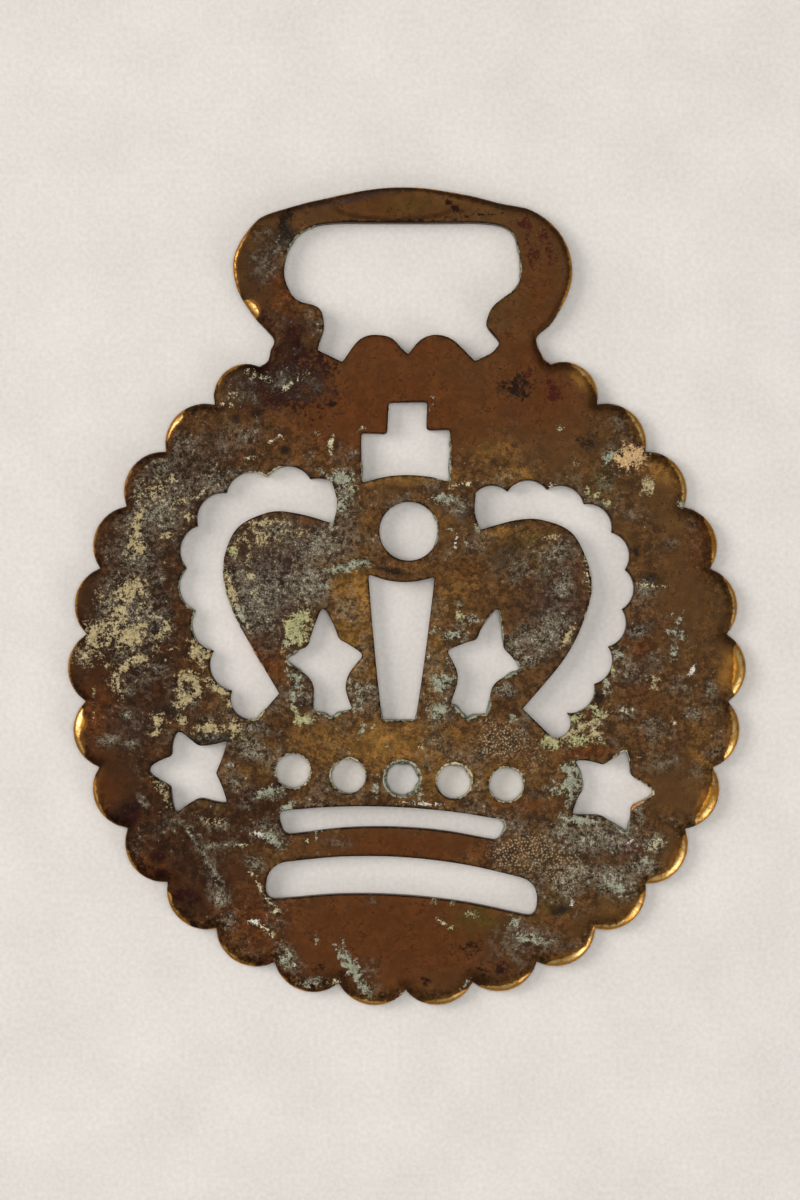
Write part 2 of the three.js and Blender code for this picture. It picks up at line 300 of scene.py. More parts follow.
# The broad colour of the skin: redder at the top and foot, darker on the left, golden in the middle.
# A later mark lies over an earlier one, so a colour comes more than once.
STAIN_MARKS = [
    ("umber", [
        (-31, 3, 8, 15, 0, 0.95), (-25, 21, 8, 6, 40, 0.8), (-28, -20, 9, 7, -45, 1),
        (-20, -26, 7, 4, -40, 0.7), (-17, 44, 3, 6, 0, 0.55), (-15, -27, 2.5, 3, 0, 0.6),
        (-17, -16, 4, 3.4, 0, 0.85), (-14, -7, 3, 1.4, 0, 0.6), (-19, -8, 3, 3, 0, 0.5),
    ]),
    ("rust", [(-34.5, -14, 2.4, 3.4, 0, 0.6), (34.5, 15, 2.4, 3.4, 0, 0.7)]),
    ("chestnut", [
        (-2, 29, 12, 6, 0, 0.9), (15, 31, 7, 5, -20, 0.7), (0, 36, 9, 2, 0, 0.8), (0, -20, 11, 2, 0, 0.8),
        (-2, -30, 15, 6, 0, 0.9), (-17, -28, 4, 6, 40, 0.6), (-28.5, -24, 2.6, 3, 40, 0.7),
        (27, 2, 3, 9, 0, 0.5), (33.5, 13, 2, 4, 0, 0.5), (-34.5, -6, 2, 5, 0, 0.7),
    ]),
    ("umber", [(-35.5, 7.5, 1.6, 2.6, 0, 0.4)]),
    ("chestnut", [
        (15, 42, 4.4, 9, 0, 0.6), (13, 35, 3.4, 3, 0, 0.6), (-13, 42, 3, 4, 0, 0.7),
        (-2, 51.8, 12, 1.8, 0, 0.6),
    ]),
    ("umber", [(-32.5, -10.8, 3, 1.4, 0, 0.5)]),
    ("rust", [
        (-15.5, 0.5, 2.6, 2.2, -60, 0.7), (20.5, -9.4, 2.6, 0.8, 10, 0.8), (13, -15.5, 4, 2.2, 0, 0.6),
        (6.2, 10.5, 2.4, 1.8, 0, 0.5),
    ]),
    ("ochre", [
        (-5.9, 5, 2.4, 6.5, 0, 1), (-3, -8.4, 8.5, 2.2, 0, 0.9), (5.2, 8, 3, 5, 0, 0.45),
        (0, 21.2, 4.6, 0.7, 0, 0.9), (3.4, 0, 1, 5, 0, 0.85), (5, 17, 3, 2.6, 0, 0.4),
        (-5, 16, 2, 2.6, 0, 0.4), (6, 52, 6, 1.2, -8, 0.35), (10, 24, 3.2, 2, 0, 0.5),
        (12, 21.5, 2.2, 0.7, 0, 0.9), (10.2, 15, 1.6, 1.1, 0, 0.8), (19.3, -14, 9, 3.4, 0, 0.4),
        (6, -12.5, 9, 2.4, 0, 0.6), (-17.8, -11.8, 3, 1.6, 0, 0.45), (-12, -10.5, 3.4, 2.6, 0, 0.4),
    ]),
    ("amber", [
        (23.4, -27, 4.4, 1.6, 25, 0.34), (29.5, -22, 1.8, 2.6, -30, 0.34), (33, -10, 1.8, 5, 0, 0.5),
        (36.2, -0.5, 1.6, 2.6, 0, 0.7), (20, 32.5, 2, 1, -40, 0.7), (29.5, 22, 2, 3, 60, 0.7),
        (0.8, -9.6, 3.5, 0.9, 0, 0.6), (-4.6, 7.5, 1.1, 2.4, 0, 0.7),
    ]),
    ("olive", [
        (8.6, -28.3, 4.2, 2, -10, 0.55), (15, -27, 4, 2, 20, 0.45), (14.4, 14, 2.6, 2.2, 0, 0.5),
        (16, 10.6, 2, 1.2, 0, 0.6), (0.5, 51.9, 5, 1.2, 0, 0.5), (22, 21, 2.2, 2, 0, 0.6),
        (-22, -13.6, 1.6, 2.6, 0, 0.5), (28, -30, 3, 3, 0, 0.6), (-18.5, -7.6, 2, 1.4, 0, 0.6),
    ]),
    ("mauve", [
        (-16, 9, 4.8, 6.2, 0, 0.9), (-12, 14.5, 6, 3, 0, 0.6), (16.5, 7, 3.4, 6, -20, 0.8),
        (26, 4.2, 1.6, 0.9, 0, 0.8), (22, -19.5, 5, 2, 0, 0.6), (30, -9.5, 3, 3, 0, 0.4),
        (-30.5, -6.5, 3.6, 2.4, 0, 0.6), (-16, 45.2, 1.6, 2.2, 0, 0.7), (-6, 52.6, 6, 0.5, 12, 0.8),
        (8.5, 52.8, 6, 0.6, -12, 0.6),
    ]),
]

DARK_MARKS = {}
DARK_MARKS["plum"] = [
    (-14, 32.2, 5, 3, 0, 1), (-12.6, 36.6, 1.8, 2.6, 0, 1), (-15.2, 39.5, 0.9, 2.2, 20, 0.6),
    (-30.7, -16.1, 0.9, 1.5, 0, 1), (-24.7, -25.7, 2.2, 0.9, -15, 0.8), (-27.8, -21.2, 0.7, 0.6, 0, 0.9),
    (-27.4, -23.1, 0.7, 0.5, 0, 0.8), (-9.6, -34, 1.4, 1, 0, 0.5), (-6.9, -34.7, 1.2, 0.7, -50, 0.6),
    (10.6, -33.6, 1.4, 0.9, 0, 0.7), (2.4, -35.2, 0.7, 0.5, 0, 0.6), (-1.8, 51.4, 0.5, 0.4, 0, 0.4),
    (5.4, 51.5, 1.3, 0.4, -48, 0.9),
]
DARK_MARKS["wine"] = [
    (24.9, -20.1, 1.3, 0.8, -10, 1), (13.9, 47, 0.8, 1.5, 10, 0.7), (16.3, 46.7, 0.6, 1.3, 0, 0.7),
    (13.6, 49.5, 0.7, 0.7, 0, 0.9), (15.5, 48.4, 0.5, 0.6, 0, 0.9), (12.9, 38.4, 0.5, 0.5, 0, 0.6),
    (16.2, 31.1, 0.8, 1.2, 20, 0.9), (13.6, 33.2, 0.5, 0.6, 0, 0.7), (-13.5, 5.5, 0.25, 1.2, 0, 0.9),
]
DARK_MARKS["soot_and_painted_shadow"] = [
    (12.3, 31.4, 1.7, 1.2, 0, 0.8), (11, 12.4, 2.6, 1.4, 0, 0.5), (7.2, 17.4, 1.2, 0.9, 0, 0.6),
    (20.5, 25.3, 1.2, 1, 0, 0.7), (25.7, 13.1, 0.6, 1, 0, 0.7), (-1.4, 10.8, 1.8, 0.4, -10, 0.8),
    (-21.6, -7.9, 1.8, 0.45, 0, 1), (-26.8, -4.9, 1.6, 0.7, 0, 0.8), (-28.2, 4.6, 0.8, 0.55, 0, 1),
    (-24, -8.3, 1.4, 0.7, 10, 0.8), (21.6, -3.3, 0.6, 0.9, 0, 0.9), (18.8, -15.9, 0.4, 0.5, 0, 0.9),
    (17.3, -27.1, 1.3, 0.5, 20, 0.8), (-9.6, 30.9, 0.4, 0.4, 0, 0.9), (-8.2, 29.5, 0.5, 0.5, 0, 0.9),
    (-16.7, 28.6, 0.6, 0.5, 0, 0.9), (-18.9, 27.9, 0.5, 0.5, 0, 0.9), (-13.5, 24.5, 0.6, 0.5, 0, 0.9),
    (-11.4, -3.9, 0.8, 0.9, 0, 0.8), (27.4, 10, 1.2, 0.8, 0, 0.7), (8.6, -34.8, 1.6, 1.4, 0, 0.6),
    (7.6, -31.2, 1.6, 0.8, 0, 0.6), (26.5, -1, 1.6, 2, 0, 0.5), (-13.6, 49, 1.2, 2.6, -30, 0.8),
    # painted shadow: the two thin lines below, along the hanger bar's lower edge and under the ledge on its
    # right
    (-2, 50.1, 8, 0.14, 0, 0.9), (8, 50.7, 3, 0.1, 4, 0.9),
]

# From the left of the disc to the right, then round the slots and down to the foot.
CRUST_MARKS = {}
CRUST_MARKS["khaki"] = [
    (-16.2, 14.6, 2.2, 0.8, 10, 0.5), (-13, 15.4, 1.6, 0.6, -10, 0.45), (-17.6, 11.4, 0.8, 1.4, 0, 0.4),
    (-30.8, 8.9, 1.5, 1.2, 0, 0.85), (-34.4, 7.9, 0.7, 0.9, 0, 0.5), (-32.3, 6.3, 1, 0.7, 20, 0.72),
    (-29.2, 7, 0.7, 0.4, -40, 0.6), (-30.3, 6.1, 0.5, 0.4, 0, 0.6), (-31.5, 4, 1.9, 1.5, 20, 0.85),
    (-34.9, 3.3, 1.7, 0.8, 90, 0.85), (-33.3, 3.1, 1, 0.8, 0, 0.6), (-35.8, 1.4, 1.4, 1, 0, 0.5),
    (-29.5, 4.8, 0.7, 0.35, 90, 0.7), (-26.9, 4.5, 0.9, 0.45, 75, 0.8), (-27.9, 3.4, 0.9, 0.4, 20, 0.8),
    (-28.2, 5.8, 0.8, 0.25, 0, 0.6), (-27.9, 2, 0.5, 0.4, 0, 0.75), (-29.9, 0.9, 0.9, 0.5, 0, 0.9),
    (-31.6, -0.1, 1.2, 0.35, 35, 0.8), (-33.7, 0.3, 0.6, 0.4, 0, 0.7), (-32.4, -2, 0.6, 1.1, 0, 0.6),
    (-34.9, -3.6, 1.9, 0.14, 90, 0.6), (-24.4, -1.1, 1, 0.5, 0, 0.9), (-23.5, -1.9, 0.5, 0.9, 0, 0.85),
    (-25.2, -2.2, 0.4, 0.6, 0, 0.75), (-24.6, -3.6, 1.1, 0.6, 15, 0.95), (-23.3, -3, 0.6, 0.5, 0, 0.85),
    (-23.2, 1.5, 1.1, 0.8, -20, 0.9), (-22.6, 0, 1.1, 0.28, 90, 0.7), (-24.1, 2.8, 0.5, 0.5, 0, 0.55),
    (-21.2, -2.2, 1.3, 0.42, -35, 0.9), (-19.6, -4.2, 0.9, 0.4, -50, 0.7), (-27.8, -6.2, 0.9, 0.7, 30, 0.8),
    (-28.1, -7.3, 0.6, 0.35, 20, 0.85), (-25.1, -6, 0.6, 0.6, 0, 0.72), (-22.1, -6.8, 1.4, 0.5, 5, 0.9),
    (-19.4, -6.5, 0.8, 0.8, 0, 0.7), (-27.6, -13.1, 1, 0.45, -45, 0.75), (-26.9, -14.5, 0.9, 0.35, -65, 0.6),
    (-21.4, -17, 0.9, 0.5, 0, 0.6), (-30.2, 15.6, 2.6, 0.5, 75, 0.8), (-29.9, 13.4, 0.8, 0.5, 60, 0.9),
    (-28.5, 19.8, 1.6, 1, 40, 0.6), (-26.2, 21.2, 0.5, 0.4, 0, 0.85), (-24.5, 16.9, 0.45, 0.4, 0, 0.85),
    (-26.8, 14.8, 0.5, 0.4, 0, 0.85), (-25.6, 18.6, 1, 0.6, 30, 0.55), (-19.5, 30.5, 0.35, 0.3, 0, 0.85),
    (-19.6, 29.4, 0.3, 0.25, 0, 0.85), (-19.5, 8.7, 1.7, 0.45, -76, 0.95), (-17.4, 10.2, 0.4, 0.3, 0, 0.8),
    (-16.9, 8.3, 0.5, 0.8, 0, 0.5), (-16, 16.2, 1.8, 0.4, 0, 0.7), (-18.4, 14.6, 0.9, 0.5, 30, 0.6),
    (18.1, 3.5, 1, 0.32, 60, 0.95), (16.2, 14.5, 0.8, 0.4, 0, 0.6), (24, 24.3, 0.7, 0.25, 10, 0.7),
    (27.3, 20.3, 0.8, 0.7, 0, 0.9), (27.8, -1.7, 1, 0.6, 0, 0.62), (19.4, -6.8, 3.3, 0.26, 27, 0.97),
    (21.3, -7.2, 0.8, 0.5, 90, 0.82),
]
CRUST_MARKS["cream"] = [
    (-26.1, 2.1, 0.5, 0.15, 10, 0.7), (-27, 0.7, 0.35, 0.2, 40, 0.7), (-22.6, 19.7, 0.7, 0.18, 35, 0.8),
    (-23.6, 19.1, 0.3, 0.18, 0, 0.8), (-15, 25.5, 0.8, 0.16, 30, 0.8), (-14, 26, 0.5, 0.14, -40, 0.8),
    (-17.5, 23.5, 0.6, 0.18, 20, 0.8), (-20.5, 29.6, 0.25, 0.2, 0, 0.8), (-13, 31.6, 1.2, 0.25, 30, 0.7),
    (-16.4, 32.6, 1.4, 0.4, -20, 0.6), (-11.2, 33, 0.6, 0.25, 0, 0.7), (-8.5, 25, 1, 0.28, 85, 0.8),
    (-5.2, 26.6, 0.8, 0.16, 30, 0.8), (-10, 26.3, 0.25, 0.2, 0, 0.8), (6.5, 20.5, 1.5, 0.16, 10, 0.8),
    (5.2, 15.5, 0.5, 0.3, 0, 0.7), (6.8, 14.2, 0.3, 0.25, 0, 0.7), (2.8, 29.2, 0.6, 0.12, 60, 0.6),
    (-3.6, -6.7, 0.35, 0.2, 30, 0.75), (-2, -8.9, 0.35, 0.2, -40, 0.75), (1.7, -8.8, 0.35, 0.2, 10, 0.75),
    (20.3, 10.6, 1.4, 0.16, -80, 0.8), (17.2, 26.9, 0.3, 0.3, 0, 0.75), (19.1, 23, 0.3, 0.3, 0, 0.75),
    (16.3, 20.6, 0.3, 0.3, 0, 0.75), (27.5, 9.2, 1.5, 0.13, -4, 0.75), (24.6, -4.7, 0.6, 0.4, 0, 0.7),
    (30, -6.1, 0.3, 0.25, 0, 0.75), (26.5, -10, 0.4, 0.25, 0, 0.65), (27.8, -19.8, 0.9, 0.5, 20, 0.65),
    (-18.5, -19.9, 0.9, 0.14, 0, 0.75), (-11.2, -19.4, 0.35, 0.2, 20, 0.7),
    (-17.1, -23.2, 0.6, 0.18, -30, 0.85), (-16.4, -24.6, 1, 0.17, -65, 0.85),
    (-15.3, -26.1, 0.9, 0.17, -42, 0.85), (-14.4, -27.3, 0.5, 0.25, 0, 0.8),
    (-15.8, -29.2, 1, 0.15, -25, 0.85), (-15, -30.2, 0.6, 0.12, -65, 0.75),
    (4.2, -28.6, 0.9, 0.16, -28, 0.75), (-7.8, -35.3, 0.3, 0.3, 0, 0.85), (-0.3, -36.6, 0.3, 0.3, 0, 0.85),
]
CRUST_MARKS["lemon"] = [
    (-19.2, -7.5, 0.6, 0.4, 0, 0.7), (-19.5, 13.2, 0.7, 0.5, 60, 0.85), (-12.2, 4.6, 1.9, 1.2, 65, 0.97),
    (-11.3, 5.8, 0.7, 0.5, 0, 0.9), (-12.3, -5, 0.9, 0.32, -70, 0.9), (-11.2, -5.8, 0.9, 0.4, 5, 0.95),
    (-6, 20, 0.5, 0.4, 0, 0.8), (5.9, 5.9, 0.4, 0.45, 0, 0.9), (20.4, 19.8, 0.8, 0.4, 90, 0.72),
    (21.6, 19.3, 0.4, 0.3, 0, 0.75), (22.5, 18.5, 0.4, 0.3, 0, 0.75), (23.1, -0.3, 0.3, 0.6, 0, 0.7),
    (16.2, -8.5, 1, 0.55, -10, 0.95), (21.4, -4.9, 0.9, 0.5, -45, 0.85), (19.5, -8, 1.8, 0.7, 5, 0.68),
    (18.9, -5.6, 1.1, 0.5, 10, 0.66), (3.3, -26.2, 0.35, 0.3, 0, 0.9), (5.2, -26.3, 0.3, 0.22, 0, 0.8),
    (7.3, -27.6, 0.7, 0.28, -10, 0.85), (5, -29, 0.35, 0.3, 0, 0.9),
]
CRUST_MARKS["verdigris"] = [
    (-18.4, 5.7, 1.3, 0.35, -58, 0.85), (-13.4, 3, 0.6, 0.6, 0, 0.7), (-12.4, -1.3, 1.5, 0.6, -75, 0.72),
    (-12.7, -3.4, 1.1, 0.3, -85, 0.75), (-7, 11.2, 1.6, 0.45, 15, 0.85), (-5, 11.9, 1, 0.5, 0, 0.85),
    (-9.5, 9.1, 0.9, 0.6, -30, 0.62), (-8.2, 10.4, 0.6, 0.4, 0, 0.62), (-7, 21, 1, 0.9, 0, 0.85),
    (-7.1, 18.2, 0.8, 0.8, 0, 0.75), (-9, 21.8, 0.9, 0.25, -30, 0.8), (-8.2, 16.2, 0.5, 0.9, 0, 0.75),
    (4.2, 19, 1.2, 0.5, 0, 0.8), (8.2, 15.8, 0.3, 0.7, 0, 0.7), (-5.3, -2.3, 1.3, 0.9, -20, 0.62),
    (-5.4, -3.8, 0.6, 0.9, 0, 0.55), (-4.9, -7, 0.8, 0.32, 60, 0.9), (7.2, 5.4, 1.1, 0.5, 0, 0.7),
    (5.4, 3.6, 1.2, 0.5, 15, 0.72), (3.4, 4.3, 0.6, 0.25, 15, 0.62), (4.6, 0.9, 0.6, 0.25, -70, 0.6),
    (4.2, -1.5, 1, 0.85, 20, 0.85), (4, -4.7, 1, 0.7, 45, 0.88), (2.6, -4.4, 0.6, 0.4, 0, 0.65),
    (12, -5.6, 0.5, 0.4, 40, 0.75), (22.8, 23.6, 0.8, 0.4, 45, 0.85), (31.1, 18.4, 0.5, 0.4, 0, 0.9),
    (30.6, 5.1, 1, 0.28, 60, 0.75), (30.2, 4, 1.1, 0.25, 0, 0.8), (31, 3.5, 0.6, 0.25, -50, 0.75),
    (30.1, 1.6, 0.9, 0.4, 90, 0.72), (29.7, 6.1, 0.7, 0.2, 25, 0.62), (23.6, 1.7, 0.5, 0.5, 0, 0.82),
    (22.5, -2.2, 1.1, 0.45, 100, 0.72), (18.6, -13, 1.9, 0.85, 85, 1), (18, -11.3, 0.6, 0.5, 0, 0.9),
    (16.6, -13.7, 0.9, 0.7, 0, 0.68), (19.7, -17.1, 1.8, 0.45, -8, 0.88), (26.8, -21.6, 0.7, 0.5, 0, 0.66),
    (23.8, -24.6, 1.3, 0.7, -20, 0.68), (-15.3, -13.9, 1.2, 0.45, 20, 0.85),
    (-13.2, -15.7, 0.9, 0.35, 30, 0.85), (-14.9, -19.5, 1.2, 0.6, -25, 0.85),
    (-3.4, -13.4, 1.1, 0.32, 82, 0.8), (1.5, -14.3, 0.8, 0.22, 85, 0.85), (-10.2, -18.3, 1.2, 0.14, 5, 0.85),
    (-10, -18.8, 0.4, 0.1, 90, 0.8), (12.1, -28.4, 0.7, 0.7, 0, 0.68), (13.6, -30.3, 1.5, 0.6, -12, 0.75),
    (-7.1, -32.8, 1.7, 0.3, -62, 0.88), (-5.8, -33.7, 2.3, 0.5, -62, 0.9),
    (-4.6, -35.8, 0.9, 0.45, -60, 0.9), (-9.9, -30.3, 0.5, 0.25, 90, 0.75),
    (-13.4, -32.4, 1, 0.7, -50, 0.62), (-10.2, -35.3, 1.4, 0.4, 10, 0.62), (6.6, -35.5, 0.8, 0.2, 55, 0.75),
]
CRUST_MARKS["white"] = [
    (5.6, 14, 0.6, 0.16, 80, 0.8), (3, 30.3, 0.2, 0.2, 0, 0.9), (2.6, 1.2, 0.25, 0.15, 20, 0.7),
    (32.1, -0.3, 0.75, 0.22, 70, 1), (25.1, -19.4, 0.35, 0.12, 30, 0.9), (18.7, -26.3, 0.4, 0.15, 50, 0.85),
    (-16.3, -18.8, 0.8, 0.25, -25, 0.85), (2, -15.2, 2, 0.12, -3, 0.9), (-16.9, -28.5, 0.5, 0.28, 0, 0.9),
    (-12.4, -33.3, 0.22, 0.22, 0, 0.95),
]
CRUST_MARKS["pink"] = [
    (25.3, 23.6, 1.3, 1.1, 0, 0.97), (26.4, 24.4, 0.7, 0.5, 30, 0.85),
]

BLOOM_MARKS = [
    (-31, 6, 4, 5, 0, 0.72), (-28, 18, 4.2, 3, 50, 0.8), (-30, 12.5, 3, 3, 0, 0.62),
    (-33.3, -8.2, 1.3, 0.7, 0, 0.85), (-31, -8.6, 0.8, 0.8, 0, 0.7), (-31.3, -5.2, 0.9, 0.6, -20, 0.7),
    (-29.6, -15, 1, 0.5, -50, 0.8), (-22.4, -7.4, 1, 0.4, 20, 0.8), (-17.4, -6.8, 2, 0.8, 0, 0.72),
    (-17.4, -9, 1.8, 1, -15, 0.85), (-19.6, -11, 0.6, 0.4, 0, 0.85), (-24.3, -18.4, 2.4, 0.22, -58, 0.85),
    (-22.6, -17.4, 1.6, 0.2, -52, 0.75), (-21.7, -22.6, 2.6, 0.5, -60, 0.8),
    (-21.2, -20, 2.2, 0.3, 8, 0.95), (-20.7, -25.9, 1, 0.9, 0, 0.9), (-19.8, -28.4, 1.3, 1.1, 0, 0.7),
    (-25.5, -17.3, 2, 0.3, -30, 0.6), (-18.7, -13.2, 1.4, 0.2, -20, 0.8),
    (-20.6, -17.6, 1.4, 0.8, 0, 0.62), (-17, -21.8, 1.2, 0.8, -30, 0.75), (-13.4, -32.6, 1.4, 1.7, 0, 0.8),
    (-10.3, -35.1, 1.5, 0.7, 0, 0.82), (-7.6, -19.6, 1.8, 0.7, 0, 0.5), (-16.5, 8, 4, 4.5, 0, 0.72),
    (-11, 9.5, 2.6, 2.4, 0, 0.9), (-9.5, 13.5, 3, 2, 0, 0.78), (-7.2, 19.5, 1.8, 2.6, 0, 0.72),
    (-13.5, 32.2, 3.6, 1.6, -10, 0.85), (-12.5, 35.4, 0.9, 0.7, 0, 0.5), (-16, 45.2, 1.4, 2, 0, 0.75),
    (-18, 26, 2.2, 1.6, 30, 0.5), (6, 18.2, 1.6, 1, 0, 0.72), (5.8, 4.2, 1.6, 1.4, 0, 0.55),
    (5.9, 7, 0.4, 0.4, 0, 0.8), (12.4, 2.6, 1.6, 1.4, 0, 0.72), (13, 0.4, 0.9, 0.5, 0, 0.8),
    (11, -2.6, 1.3, 0.7, 0, 0.9), (4, -3.2, 1.4, 2.4, 0, 0.6), (-5.3, -3, 1.6, 1.6, 0, 0.6),
    (17.7, 9, 1, 1, 0, 0.95), (15.5, 4, 3.2, 2, 40, 0.78), (14, 1.4, 1.8, 1, 30, 0.78),
    (17, 13, 2, 1.2, 0, 0.7), (16.5, 7, 3, 5, 0, 0.36), (26.7, 8.6, 1.4, 1.4, 0, 0.72),
    (26, 4.1, 1.3, 0.7, 0, 0.7), (25.2, 17.4, 1.4, 1.2, 0, 0.5), (29.6, 13.9, 1, 0.8, 0, 0.5),
    (32, 16, 0.9, 0.8, 0, 0.5), (30.3, 3.6, 1.4, 2.4, 0, 0.4), (32.2, -5.1, 1, 0.7, 0, 0.82),
    (30.8, -2.2, 1.8, 1.4, 0, 0.5), (34.3, -2.4, 0.9, 0.7, -30, 0.75), (27.4, -6.4, 1.6, 0.6, 0, 0.6),
    (24.6, -5, 1.2, 0.8, 0, 0.75), (28.6, -10.6, 2.4, 1.6, 0, 0.5), (32.4, -11.8, 1.4, 1.2, 0, 0.5),
    (21, -19, 4.2, 1.8, 0, 0.85), (17.4, -18.4, 1.2, 0.9, 0, 0.9), (26, -16.8, 0.7, 1.4, 0, 0.7),
    (27.7, -19.6, 1.4, 0.9, 0, 0.85), (26.5, -22, 1.8, 1, 0, 0.85), (23.6, -24, 2.6, 1.5, -10, 0.95),
    (17.8, -24, 2.2, 2, 0, 0.75), (20.5, -22.8, 1.8, 0.9, 0, 0.7), (14.6, -30.4, 2.4, 1.2, -20, 0.9),
    (12.2, -30.6, 2.2, 2.2, 0, 0.7), (-15, -14.2, 1.6, 0.7, 0, 0.72), (-15.2, -18.6, 1.8, 1.2, -20, 0.72),
    (-4.4, -34, 1.2, 1.6, -60, 0.5), (13.5, -5.4, 1, 0.8, 0, 0.5), (-3.6, -26.2, 0.9, 0.4, 0, 0.5),
    (-36.2, 1.4, 1, 1.4, 0, 0.8), (-26.6, 23.4, 2.6, 1.6, 40, 0.7), (-14.5, 15.6, 3, 1, 0, 0.7),
]

# Where the skin is smooth and nothing pale has settled.
CLEAN_PLACES = [
    (0, 31, 11, 5, 0, 1), (17, 40, 6, 14, 0, 1), (0, 52, 22, 2.4, 0, 1), (-18, 43, 3, 5, 0, 0.8),
    (0, -30, 11, 5, 0, 1), (-2, -19.8, 8, 1.6, 0, 1), (0, 6, 5, 8, 0, 0.36), (-2, -9, 9, 2, 0, 0.36),
    (31, 8, 4, 8, 0, 0.55), (16, 31, 5, 4, 0, 0.7), (-33, -12, 3, 4, 0, 0.7), (-36, 7.4, 1.4, 3, 0, 0.9),
    (-37, 0.4, 1, 2.6, 0, 0.8), (-25, -25, 3, 2, -40, 0.6), (-12, -34, 4, 1.4, -25, 0.5),
    (6, -34, 9, 2, 12, 0.7), (30, 18, 3, 5, 40, 0.6), (36, 2, 1.6, 8, 0, 0.6), (24, -27, 3, 2, 40, 0.7),
    (30, -13, 3.4, 4, 0, 0.6), (14, -15.5, 4, 1.6, 0, 0.45), (20, -28.5, 4, 1.6, 25, 0.5),
    (30, -20, 2, 3, -30, 0.5), (6, 26, 7, 3, 0, 0.5), (5, 15, 4, 4, 0, 0.4), (-1, 20.4, 4, 2, 0, 0.4),
    (24, 14, 3, 8, 0, 0.4), (-19, -23, 3, 4, 30, 0.45), (-34.5, -1, 1.6, 4, 0, 0.5),
]

STIPPLE_MARKS = [
    (10.4, -8.2, 2.6, 1.6, 0, 0.85), (9, -6, 1.4, 0.3, 4, 0.7), (12.6, -20.9, 2.6, 1.5, -10, 0.95),
    (15, -20.4, 2, 1.4, -10, 0.9), (17.6, -23, 1.8, 2.2, 0, 0.85), (14.6, -10, 1.8, 1.4, 0, 0.5),
]

# Where the rim is worn to bare brass: x, y, how far along it reaches, how wide the bare band is.
RIM_WEAR = [
    (34, -15.2, 2.8, 1.49), (31, -21.2, 2.6, 1.1), (29, -23.6, 2.2, 0.91), (25.4, -27.3, 2.8, 0.91),
    (22.5, -28.8, 2.4, 0.65), (18.4, -32.8, 2.8, 1.04), (20.2, -30.8, 2, 0.59), (11.4, -35.9, 3.2, 0.78),
    (4.6, -37.4, 2.8, 0.72), (-4.2, -37.5, 2.6, 0.55), (-12.5, -35.8, 2.4, 0.3), (-18.9, -32.5, 2.6, 0.55),
    (-25.6, -27.8, 2, 0.5), (-26.6, -26, 1, 0.55), (-30.9, -21.5, 1.8, 0.4), (-34.3, -14.5, 2.6, 0.5),
    (-36.9, -7.2, 3, 0.8), (-36.4, -6.3, 1.2, 1.3), (-37.7, 0.2, 3.4, 0.32), (-37, 7.6, 3.2, 0.32),
    (-34.9, 14.5, 2.8, 0.3), (-31.4, 21, 2.6, 0.32), (-26.2, 27.4, 2.2, 0.6), (-25.5, 27.8, 0.9, 0.9),
    (-19.8, 32.6, 2.4, 0.4), (-19, 46, 4.6, 0.4), (-17, 40.4, 1.3, 1), (18.5, 44, 5, 0.36),
    (5, 53.8, 5, 0.2), (17, 50, 2.6, 0.25), (20.2, 32.6, 2.4, 0.7), (26.2, 27, 2.6, 0.75),
    (31.2, 21.2, 3, 0.75), (35, 14.4, 3, 0.72), (37, 7.4, 3.2, 0.59), (37.9, -0.2, 3, 1.62),
    (36.9, -7.4, 3.2, 0.98), (35.4, -12.6, 1.6, 0.78),
]

# Where mineral has grown along a window's edge: x, y, how far it reaches, how wide the line is.
EDGE_GROWTH = {}
EDGE_GROWTH["verdigris"] = [
    (-0.4, -12.2, 2.9, 0.4), (-8.6, -5.2, 2.6, 0.24), (-12.8, 0.6, 1.6, 0.3), (6.6, -5, 2, 0.3),
    (12.3, -0.4, 1.6, 0.28), (10.8, 4.6, 2.4, 0.14), (9, -4.4, 1.2, 0.3), (-0.8, -5.8, 2.4, 0.16),
    (10.4, -17.6, 1.6, 0.2), (24.2, -18, 1.4, 0.24), (19, -12.5, 2, 0.2), (-24.8, 7, 5, 0.14),
    (4.4, 23.5, 3, 0.2), (-6.2, 22.5, 1.8, 0.16), (2.6, 15.5, 2.6, 0.14), (12, 45, 4.4, 0.14),
    (-12, 48, 3, 0.14), (22, -5, 3, 0.12),
]
EDGE_GROWTH["cream"] = [
    (-6.8, -11.6, 2.7, 0.24), (5.8, -12, 2.8, 0.3), (-12.2, -11.6, 2.7, 0.2), (11.4, -13, 2.7, 0.2),
    (-20, 8, 5, 0.14), (20.4, 8.5, 4, 0.14), (27.4, -13.8, 2.4, 0.16), (24, -9.6, 1.6, 0.16),
    (-16, 22.6, 2.4, 0.16),
]
EDGE_GROWTH["amber"] = [
    (26.2, -15.3, 1.4, 0.2), (-16.4, 2, 3.6, 0.12),
]
EDGE_GROWTH["lemon"] = [
    (-16.6, -5.4, 1.2, 0.25),
]

class Points:
    """Points of the casting, the face they are on, and how far marks waver there."""

    def __init__(self, xy, on_front, on_back):
        self.x, self.y = xy[:, 0], xy[:, 1]
        self.on_front, self.on_back = on_front, on_back
        self.aside = 0.8 * drift(self.x, self.y, 1.6, 21) + 0.5 * drift(self.x, self.y, 0.55, 23)
        self.along = 0.8 * drift(self.x, self.y, 1.6, 22) + 0.5 * drift(self.x, self.y, 0.55, 24)

    def near(self, x, y, reach):
        """1 at this place, falling to 0 at its reach."""
        return np.clip(1 - ((self.x - x) ** 2 + (self.y - y) ** 2) / reach**2, 0, 1)


